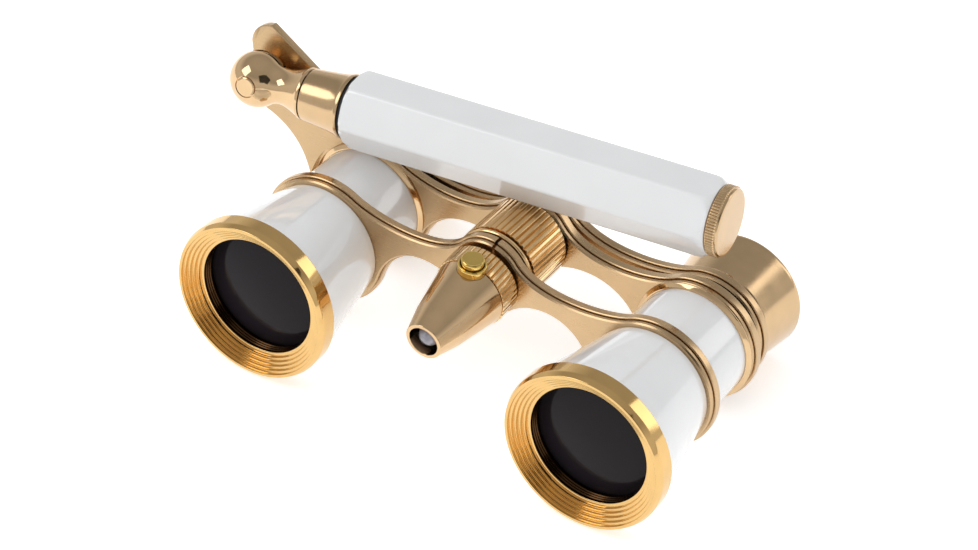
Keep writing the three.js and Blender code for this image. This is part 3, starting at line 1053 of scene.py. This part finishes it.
def build_hinge_pin():
    """Pin through the ball and the hinge plate, and the washer in the ball's slot."""
    pin = [
        (0, -5.42), (1.75, -5.42, 0.05), (2.05, -5.25, 0.08), (2.05, -5.0), (1.45, -5.0),
        (1.45, 8.5, 0.2), (0, 8.5)
    ]
    turned_piece(
        "gold_hinge_pin", pin, HANDLE, MATERIALS["polished"], "champagne_gold", "hinge_pin",
        steps=48
    )
    washer = [(1.55, 0.85), (4.9, 0.85, 0.1), (4.9, 1.55, 0.1), (1.55, 1.55)]
    turned_piece(
        "steel_hinge_washer", washer, HANDLE, MATERIALS["steel"], "steel_parts", "hinge_washer"
    )


def hexagon(across_flats, edge, turn):
    """Radius limit of a hexagonal bar with rounded long edges."""
    flat = across_flats / 2
    edge_centre = (flat - edge) / math.cos(math.pi / 6)
    edge_span = math.atan2(edge / 2, edge_centre + edge * math.cos(math.pi / 6))

    def limit(angle, y):
        off_corner = math.pi / 6 - abs((angle - turn) % (math.pi / 3) - math.pi / 6)
        if off_corner < edge_span:
            across = edge_centre * math.sin(off_corner)
            return edge_centre * math.cos(off_corner) + math.sqrt(edge ** 2 - across ** 2)
        return flat / math.cos(math.pi / 6 - off_corner)

    return limit


SLEEVE_START = 21.5  # distances along the handle from its pin
SLEEVE_END = 99.3


def build_handle_sleeve(sizes):
    """White hexagonal sleeve of the handle."""
    start, end = SLEEVE_START, SLEEVE_END
    sleeve = [
        (3.1, start), (6.5, start, 0.2), (7.2, start + 0.35), (7.75, start + 0.9),
        (8.1, start + 1.7), (8.3, start + 3), (8.3, end - 4), (8.1, end - 2.6), (7.8, end - 1.5),
        (7.4, end - 0.7), (6.9, end, 0.15), (5.9, end), (5.9, 24), (3.1, 24)
    ]
    turned_piece(
        "enamel_sleeve", sleeve, HANDLE_TUBES, MATERIALS["enamel"], "white_enamel",
        "handle_sleeve", steps=240,
        limit=hexagon(sizes.sleeve_across_flats / MM, sizes.sleeve_edge / MM, -sizes.sleeve_turn)
    )


def build_ferrule():
    """Gold ferrule that the sleeve slides to, and its black gasket."""
    ferrule = [
        (3.1, 11.7), (5.25, 11.7, 0.1), (5.32, 12.3), (5.55, 14.5), (5.95, 18), (6.3, 19.6),
        (6.5, 20.1, 0.15), (6.55, 20.75, 0.08), (6.1, 20.8), (3.1, 20.8)
    ]
    turned_piece(
        "gold_ferrule", ferrule, HANDLE_TUBES, MATERIALS["turned"], "champagne_gold",
        "handle_ferrule"
    )
    gasket = [(3.1, 20.85), (6.15, 20.85), (6.15, 21.45), (3.1, 21.45)]
    turned_piece(
        "black_gasket", gasket, HANDLE_TUBES, MATERIALS["black"], "black_parts", "ferrule_gasket"
    )


def build_handle_cap(sizes):
    """Gold end cap with a fine knurl round its rim."""
    crest = 7.0
    knurl_depth = 0.16
    cap_front, knurl_back, cap_back = SLEEVE_END + 0.05, 101.3, 102.0
    cap = [
        (0, cap_front), (crest - 0.3, cap_front), (crest, cap_front + 0.3, 0.1),
        (crest, knurl_back - 0.1), (crest - 0.25, knurl_back + 0.1), (6.75, knurl_back + 0.25),
        (6.6, cap_back - 0.15, 0.12), (6.2, cap_back - 0.02, 0.2), (0, cap_back)
    ]
    turned_piece(
        "gold_cap", cap, HANDLE_TUBES, MATERIALS["turned"], "champagne_gold",
        "handle_cap", steps=sizes.cap_knurls * 6,
        limit=flutes(sizes.cap_knurls, crest, knurl_depth, cap_front + 0.2, knurl_back)
    )


# ---------------------------------------------------------------- inner pieces


INNER_FINISHES = {
    "black": [
        "objective_retainer_left", "objective_retainer_right", "led_holder", "battery_sleeve",
        "stem_stop"
    ],
    "steel": [
        "core_tube_left", "core_tube_right", "button_cell_1", "button_cell_2", "button_cell_3",
        "battery_spring", "torch_switch", "handle_stem"
    ],
}


def finish_inner_pieces():
    """Gives the pieces that keep their frame shape their finishes."""
    for finish, nodes in INNER_FINISHES.items():
        for name in nodes:
            node = frame["nodes"][name]
            if not node.data.materials:
                node.data.materials.append(None)
            for slot in node.material_slots:
                slot.link = "OBJECT"
                slot.material = MATERIALS[finish]


# ---------------------------------------------------------------- stage


def build_floor(sizes):
    """Pale floor, tilted as the glasses rest on their bezels and eyecups."""
    bezel_back = reach("objective_bezel_left", 1)[0] + 4.2
    eyecup_back = reach("eyecup_left", 1)[1] - 0.5
    rise = reach("eyecup_left", 2)[0] - reach("objective_bezel_left", 2)[0]
    tilt = math.atan2(rise, eyecup_back - bezel_back)
    bm = bmesh.new()
    bmesh.ops.create_grid(bm, x_segments=4, y_segments=4, size=sizes.floor_size / 2)
    floor = bpy.data.objects.new("studio_floor", finished(bm))
    bpy.context.scene.collection.objects.link(floor)
    floor.matrix_world = (
        Matrix.Translation((0, bezel_back * MM, -0.00005)) @ Matrix.Rotation(tilt, 4, "X")
    )
    floor.data.materials.append(MATERIALS["floor"])


def black_card(name, position, target, size):
    """Black card that only reflections see, for the dark shapes in polished gold."""
    bm = bmesh.new()
    bmesh.ops.create_grid(bm, x_segments=1, y_segments=1, size=size / 2)
    card = bpy.data.objects.new(name, finished(bm))
    bpy.context.scene.collection.objects.link(card)
    card.matrix_world = facing(position, target)
    card.data.materials.append(MATERIALS["black"])
    card.visible_camera = False
    card.visible_diffuse = False
    card.visible_shadow = False


def facing(position, target):
    """Frame at a position whose back looks away from the target, as lights and cards do."""
    away = Vector(position) - Vector(target)
    return Matrix.Translation(position) @ away.to_track_quat("Z", "Y").to_matrix().to_4x4()


def soft_light(name, position, target, size, power):
    light = bpy.data.lights.new(name, "AREA")
    light.shape = "RECTANGLE"
    light.size, light.size_y = size
    light.energy = power
    lamp = bpy.data.objects.new(name, light)
    bpy.context.scene.collection.objects.link(lamp)
    lamp.matrix_world = facing(position, target)
    return lamp


def build_lights():
    """Pale studio walls under a darker ceiling, two soft lights, a fill and a black card.

    The fill only lights: it doesn't show in the polished gold.
    """
    world = bpy.data.worlds.new("Studio")
    bpy.context.scene.world = world
    world.use_nodes = True
    tree = world.node_tree
    tree.nodes.clear()
    direction = add(tree, "TexCoord").outputs["Generated"]
    height = add(tree, "SeparateXYZ", {"Vector": direction}).outputs["Z"]
    ramp = add(tree, "ValToRGB", {"Fac": height})
    ramp.color_ramp.elements[0].position = 0.0
    ramp.color_ramp.elements[0].color = (0.7, 0.7, 0.7, 1)
    ramp.color_ramp.elements[1].position = 1.0
    ramp.color_ramp.elements[1].color = (0.5, 0.5, 0.5, 1)
    wall = ramp.color_ramp.elements.new(0.3)
    wall.color = (0.75, 0.75, 0.75, 1)
    ceiling = ramp.color_ramp.elements.new(0.6)
    ceiling.color = (0.42, 0.42, 0.42, 1)
    bpy.context.scene.view_settings.view_transform = "Standard"
    back = add(tree, "Background", {"Color": ramp.outputs["Color"], "Strength": 0.95})
    add(tree, "OutputWorld", {"Surface": back.outputs[0]})
    soft_light("Left softbox", (-0.5, -0.45, 0.6), (0, 0, 0.02), (0.45, 0.45), 1.4)
    soft_light("Right softbox", (0.5, 0.55, 0.38), (0, 0, 0.02), (0.2, 0.5), 0.45)
    fill = soft_light("Overhead fill", (-0.1, -0.2, 0.9), (0, 0, 0.02), (1.2, 1.2), 3.6)
    fill.visible_glossy = False
    black_card("Camera card", (0.61, -0.47, 0.56), (0, 0, 0.02), 0.5)


def build_camera():
    """Long lens looking down on the glasses from the front right."""
    azimuth = math.radians(30.18)
    elevation = math.radians(37.48)
    roll = math.radians(4.03)
    distance = 0.7088
    target = Vector((0.01049, -0.01055, 0.03042))
    back = Vector((
        math.sin(azimuth) * math.cos(elevation),
        -math.cos(azimuth) * math.cos(elevation),
        math.sin(elevation)
    ))
    right = Vector((math.cos(azimuth), math.sin(azimuth), 0))
    up = back.cross(right)
    turned_right = right * math.cos(roll) + up * math.sin(roll)
    turned_up = up * math.cos(roll) - right * math.sin(roll)
    camera = bpy.data.cameras.new("Camera")
    camera.lens = 138.7
    camera.sensor_width = 36
    camera.clip_start = 0.01
    holder = bpy.data.objects.new("Camera", camera)
    bpy.context.scene.collection.objects.link(holder)
    holder.matrix_world = (
        Matrix.Translation(target + back * distance)
        @ Matrix((turned_right, turned_up, back)).transposed().to_4x4()
    )
    bpy.context.scene.camera = holder


# ---------------------------------------------------------------- operators and panel


class StageOperator(bpy.types.Operator):
    """Add the floor, the lights and the camera"""

    bl_idname = "opera_glasses.stage"
    bl_label = "Stage"

    def execute(self, context):
        build_floor(context.scene.opera_glass_sizes)
        build_lights()
        build_camera()
        return {"FINISHED"}


class BarrelOperator(bpy.types.Operator):
    """Add the white shells and tubes and the gold beads"""

    bl_idname = "opera_glasses.barrels"
    bl_label = "Barrels"

    def execute(self, context):
        build_barrels()
        return {"FINISHED"}


class BezelOperator(bpy.types.Operator):
    """Add the stepped gold bezels"""

    bl_idname = "opera_glasses.bezels"
    bl_label = "Objective bezels"

    def execute(self, context):
        build_bezels(context.scene.opera_glass_sizes)
        return {"FINISHED"}


class LensOperator(bpy.types.Operator):
    """Add the objective and eye lenses"""

    bl_idname = "opera_glasses.lenses"
    bl_label = "Lenses"

    def execute(self, context):
        build_lenses()
        return {"FINISHED"}


class RetainerOperator(bpy.types.Operator):
    """Add the rings that hold the eye lenses"""

    bl_idname = "opera_glasses.retainers"
    bl_label = "Eye lens rings"

    def execute(self, context):
        build_retainers()
        return {"FINISHED"}


class EyecupOperator(bpy.types.Operator):
    """Add the gold eyecups on their sliding tubes"""

    bl_idname = "opera_glasses.eyecups"
    bl_label = "Eyecups"

    def execute(self, context):
        build_eyecups()
        return {"FINISHED"}


class FrontBridgeOperator(bpy.types.Operator):
    """Add the front bridge"""

    bl_idname = "opera_glasses.front_bridge"
    bl_label = "Front bridge"

    def execute(self, context):
        build_front_bridge(context.scene.opera_glass_sizes)
        return {"FINISHED"}


class RearBridgeOperator(bpy.types.Operator):
    """Add the rear bridge with its hinge plate"""

    bl_idname = "opera_glasses.rear_bridge"
    bl_label = "Rear bridge"

    def execute(self, context):
        build_rear_bridge(context.scene.opera_glass_sizes)
        return {"FINISHED"}


class EyepieceBridgeOperator(bpy.types.Operator):
    """Add the sliding eyepiece bridge"""

    bl_idname = "opera_glasses.eyepiece_bridge"
    bl_label = "Eyepiece bridge"

    def execute(self, context):
        build_eyepiece_bridge(context.scene.opera_glass_sizes)
        return {"FINISHED"}


class NutOperator(bpy.types.Operator):
    """Add the focusing nut"""

    bl_idname = "opera_glasses.nut"
    bl_label = "Focusing nut"

    def execute(self, context):
        build_focus_nut()
        return {"FINISHED"}


class WheelOperator(bpy.types.Operator):
    """Add the fluted focusing wheel"""

    bl_idname = "opera_glasses.wheel"
    bl_label = "Focusing wheel"

    def execute(self, context):
        build_focus_wheel(context.scene.opera_glass_sizes)
        return {"FINISHED"}


class ScrewOperator(bpy.types.Operator):
    """Add the threaded focusing screw"""

    bl_idname = "opera_glasses.screw"
    bl_label = "Focusing screw"

    def execute(self, context):
        build_focus_screw()
        return {"FINISHED"}


class TorchShellOperator(bpy.types.Operator):
    """Add the cone of the reading torch"""

    bl_idname = "opera_glasses.torch_shell"
    bl_label = "Torch shell"

    def execute(self, context):
        build_torch_shell()
        return {"FINISHED"}


class TorchRingOperator(bpy.types.Operator):
    """Add the fluted ring of the torch"""

    bl_idname = "opera_glasses.torch_ring"
    bl_label = "Torch ring"

    def execute(self, context):
        build_torch_ring(context.scene.opera_glass_sizes)
        return {"FINISHED"}


class LampOperator(bpy.types.Operator):
    """Add the lamp in the torch's nose"""

    bl_idname = "opera_glasses.lamp"
    bl_label = "Lamp"

    def execute(self, context):
        build_lamp()
        return {"FINISHED"}


class ButtonOperator(bpy.types.Operator):
    """Add the push button and its collar"""

    bl_idname = "opera_glasses.button"
    bl_label = "Torch button"

    def execute(self, context):
        build_torch_button()
        return {"FINISHED"}


class KnuckleOperator(bpy.types.Operator):
    """Add the ball that the handle turns on"""

    bl_idname = "opera_glasses.knuckle"
    bl_label = "Handle knuckle"

    def execute(self, context):
        build_knuckle()
        return {"FINISHED"}


class PinOperator(bpy.types.Operator):
    """Add the handle's hinge pin and washer"""

    bl_idname = "opera_glasses.pin"
    bl_label = "Hinge pin"

    def execute(self, context):
        build_hinge_pin()
        return {"FINISHED"}


class SleeveOperator(bpy.types.Operator):
    """Add the white hexagonal sleeve"""

    bl_idname = "opera_glasses.sleeve"
    bl_label = "Handle sleeve"

    def execute(self, context):
        build_handle_sleeve(context.scene.opera_glass_sizes)
        return {"FINISHED"}


class FerruleOperator(bpy.types.Operator):
    """Add the handle's ferrule and gasket"""

    bl_idname = "opera_glasses.ferrule"
    bl_label = "Ferrule"

    def execute(self, context):
        build_ferrule()
        return {"FINISHED"}


class CapOperator(bpy.types.Operator):
    """Add the knurled end cap of the handle"""

    bl_idname = "opera_glasses.cap"
    bl_label = "Handle cap"

    def execute(self, context):
        build_handle_cap(context.scene.opera_glass_sizes)
        return {"FINISHED"}


class InnerOperator(bpy.types.Operator):
    """Give the inner pieces of the frame their finishes"""

    bl_idname = "opera_glasses.inner"
    bl_label = "Inner pieces"

    def execute(self, context):
        finish_inner_pieces()
        return {"FINISHED"}


OPERATORS = (
    StageOperator, BarrelOperator, BezelOperator, LensOperator, RetainerOperator,
    EyecupOperator, FrontBridgeOperator, RearBridgeOperator, EyepieceBridgeOperator,
    NutOperator, WheelOperator, ScrewOperator, TorchShellOperator, TorchRingOperator,
    LampOperator, ButtonOperator, KnuckleOperator, PinOperator, SleeveOperator, FerruleOperator,
    CapOperator, InnerOperator
)


class OperaGlassPanel(bpy.types.Panel):
    """Lists the pieces of the opera glasses, with their sizes and colours"""

    bl_idname = "VIEW3D_PT_opera_glasses"
    bl_label = "Opera Glasses"
    bl_space_type = "VIEW_3D"
    bl_region_type = "UI"
    bl_category = "Opera Glasses"

    def draw(self, context):
        for operator in OPERATORS:
            self.layout.operator(operator.bl_idname)
        for group in (context.scene.opera_glass_sizes, context.scene.opera_glass_colours):
            for name in group.__annotations__:
                self.layout.prop(group, name)


CLASSES = (OperaGlassSizes, OperaGlassColours, *OPERATORS, OperaGlassPanel)


def register():
    for kind in CLASSES:
        bpy.utils.register_class(kind)
    bpy.types.Scene.opera_glass_sizes = bpy.props.PointerProperty(type=OperaGlassSizes)
    bpy.types.Scene.opera_glass_colours = bpy.props.PointerProperty(type=OperaGlassColours)


def unregister():
    del bpy.types.Scene.opera_glass_colours
    del bpy.types.Scene.opera_glass_sizes
    for kind in reversed(CLASSES):
        bpy.utils.unregister_class(kind)


def main():
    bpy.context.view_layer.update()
    register()
    make_materials(bpy.context.scene.opera_glass_colours)
    bpy.ops.opera_glasses.stage()
    bpy.ops.opera_glasses.barrels()
    bpy.ops.opera_glasses.bezels()
    bpy.ops.opera_glasses.lenses()
    bpy.ops.opera_glasses.retainers()
    bpy.ops.opera_glasses.eyecups()
    bpy.ops.opera_glasses.front_bridge()
    bpy.ops.opera_glasses.rear_bridge()
    bpy.ops.opera_glasses.eyepiece_bridge()
    bpy.ops.opera_glasses.nut()
    bpy.ops.opera_glasses.wheel()
    bpy.ops.opera_glasses.screw()
    bpy.ops.opera_glasses.torch_shell()
    bpy.ops.opera_glasses.torch_ring()
    bpy.ops.opera_glasses.lamp()
    bpy.ops.opera_glasses.button()
    bpy.ops.opera_glasses.knuckle()
    bpy.ops.opera_glasses.pin()
    bpy.ops.opera_glasses.sleeve()
    bpy.ops.opera_glasses.ferrule()
    bpy.ops.opera_glasses.cap()
    bpy.ops.opera_glasses.inner()
    bpy.context.view_layer.update()


if __name__ == "__main__":
    main()
